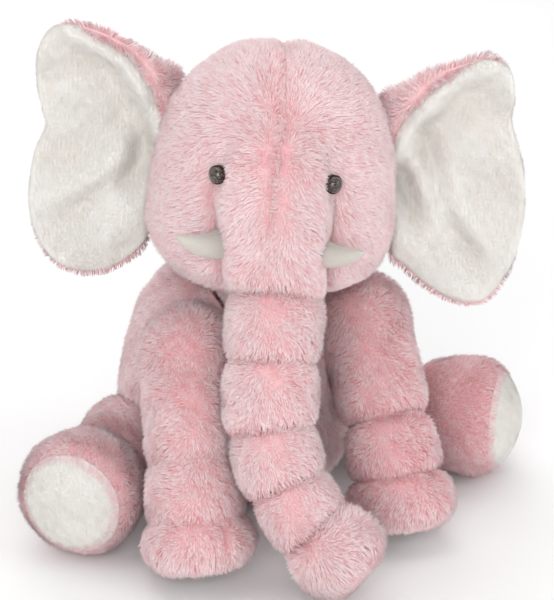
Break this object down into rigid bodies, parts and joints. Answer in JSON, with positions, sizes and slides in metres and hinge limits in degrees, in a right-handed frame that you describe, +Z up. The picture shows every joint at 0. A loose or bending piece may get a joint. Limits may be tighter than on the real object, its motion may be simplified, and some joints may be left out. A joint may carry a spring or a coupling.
{
  "type": "stuffed elephant",
  "caption": "Sitting plush elephant with floppy ears, a segmented trunk that curls, small tusks and hinged legs over a pellet-weighted seat.",
  "frame": {"origin": "middle of the flat seat on the ground", "axes": "+Z up, body facing -Y, the toy's own left side at +X; the head is stored turned towards -X"},
  "size_m": [0.4434, 0.3922, 0.4048],
  "materials": {
    "pink_plush": "long-pile plush",
    "white_nap": "short-pile plush",
    "fibre_fill": "loose fibre",
    "bag_cloth": "woven",
    "tusk_cloth": "velour",
    "label_cloth": "satin ribbon",
    "eye_plastic": "gloss",
    "washer_plastic": "moulded"
  },
  "bodies": {
    "body": {"body_skin": "pink_plush", "body_stuffing": "fibre_fill", "pellet_bag": "bag_cloth", "care_label": "label_cloth"},
    "neck": {"neck_stuffing": "fibre_fill"},
    "head": {"head_skin_left": "pink_plush", "head_skin_right": "pink_plush", "head_stuffing": "fibre_fill", "left_eye": "eye_plastic", "left_eye_washer": "washer_plastic", "left_tusk_skin": "tusk_cloth", "left_tusk_stuffing": "fibre_fill", "right_eye": "eye_plastic", "right_eye_washer": "washer_plastic", "right_tusk_skin": "tusk_cloth", "right_tusk_stuffing": "fibre_fill"},
    "tail": {"tail": "pink_plush"},
    "left_ear": {"left_ear_front": "white_nap", "left_ear_back": "pink_plush"},
    "left_front_leg": {"left_front_leg_skin": "pink_plush", "left_front_leg_stuffing": "fibre_fill", "left_front_leg_sole": "white_nap"},
    "left_rear_leg": {"left_rear_leg_skin": "pink_plush", "left_rear_leg_stuffing": "fibre_fill", "left_rear_leg_sole": "white_nap"},
    "right_ear": {"right_ear_front": "white_nap", "right_ear_back": "pink_plush"},
    "right_front_leg": {"right_front_leg_skin": "pink_plush", "right_front_leg_stuffing": "fibre_fill", "right_front_leg_sole": "white_nap"},
    "right_rear_leg": {"right_rear_leg_skin": "pink_plush", "right_rear_leg_stuffing": "fibre_fill", "right_rear_leg_sole": "white_nap"},
    "trunk_1": {"trunk_1_skin": "pink_plush", "trunk_1_stuffing": "fibre_fill"},
    "trunk_2": {"trunk_2_skin": "pink_plush", "trunk_2_stuffing": "fibre_fill"},
    "trunk_3": {"trunk_3_skin": "pink_plush", "trunk_3_stuffing": "fibre_fill"},
    "trunk_4": {"trunk_4_skin": "pink_plush", "trunk_4_stuffing": "fibre_fill"},
    "trunk_tip": {"trunk_tip_skin": "pink_plush", "trunk_tip_stuffing": "fibre_fill"}
  },
  "joints": [
    {"name": "neck_turn", "type": "hinge", "parent": "body", "child": "neck", "pos_m": [-0.004, -0.05, 0.192], "axis": [0, 0, 1], "range_deg": [0, 12]},
    {"name": "neck_nod", "type": "hinge", "parent": "neck", "child": "head", "pos_m": [-0.004, -0.05, 0.192], "axis": [0.8829, -0.4695, 0], "range_deg": [-6, 0]},
    {"name": "left_ear_flap", "type": "hinge", "parent": "head", "child": "left_ear", "pos_m": [0.08364, -0.09995, 0.29311], "axis": [-0.0687, 0.0365, 0.997], "range_deg": [-28, 28]},
    {"name": "right_ear_flap", "type": "hinge", "parent": "head", "child": "right_ear", "pos_m": [-0.07468, -0.01576, 0.3088], "axis": [-0.2205, 0.1172, -0.9683], "range_deg": [-28, 28]},
    {"name": "trunk_bend_1", "type": "hinge", "parent": "head", "child": "trunk_1", "pos_m": [-0.03702, -0.13885, 0.21351], "axis": [-0.8829, 0.4695, 0], "range_deg": [0, 5]},
    {"name": "trunk_bend_2", "type": "hinge", "parent": "trunk_1", "child": "trunk_2", "pos_m": [-0.05089, -0.1564, 0.16768], "axis": [-0.8829, 0.4695, 0], "range_deg": [0, 5]},
    {"name": "trunk_bend_3", "type": "hinge", "parent": "trunk_2", "child": "trunk_3", "pos_m": [-0.06077, -0.17492, 0.12151], "axis": [-0.8829, 0.4695, 0], "range_deg": [0, 5]},
    {"name": "trunk_bend_4", "type": "hinge", "parent": "trunk_3", "child": "trunk_4", "pos_m": [-0.0588, -0.19636, 0.08434], "axis": [-0.8829, 0.4695, 0], "range_deg": [0, 5]},
    {"name": "trunk_bend_5", "type": "hinge", "parent": "trunk_4", "child": "trunk_tip", "pos_m": [-0.04696, -0.21964, 0.05335], "axis": [-0.8829, 0.4695, 0], "range_deg": [0, 5]},
    {"name": "left_front_leg_splay", "type": "hinge", "parent": "body", "child": "left_front_leg", "pos_m": [0.077, -0.07, 0.148], "axis": [0, -1, 0], "range_deg": [0, 12]},
    {"name": "left_rear_leg_lift", "type": "hinge", "parent": "body", "child": "left_rear_leg", "pos_m": [0.098, 0, 0.05], "axis": [-0.7071, -0.7071, 0], "range_deg": [0, 18]},
    {"name": "right_front_leg_splay", "type": "hinge", "parent": "body", "child": "right_front_leg", "pos_m": [-0.077, -0.07, 0.148], "axis": [0, 1, 0], "range_deg": [0, 5]},
    {"name": "right_rear_leg_lift", "type": "hinge", "parent": "body", "child": "right_rear_leg", "pos_m": [-0.098, 0, 0.05], "axis": [-0.6817, 0.7316, 0], "range_deg": [0, 18]},
    {"name": "tail_swing", "type": "hinge", "parent": "body", "child": "tail", "pos_m": [0, 0.0885, 0.078], "axis": [1, 0, 0], "range_deg": [0, 30]}
  ],
  "couplings": [
    {"joint": "trunk_bend_2", "follows": "trunk_bend_1", "ratio": 1},
    {"joint": "trunk_bend_3", "follows": "trunk_bend_1", "ratio": 1},
    {"joint": "trunk_bend_4", "follows": "trunk_bend_1", "ratio": 1},
    {"joint": "trunk_bend_5", "follows": "trunk_bend_1", "ratio": 1}
  ]
}
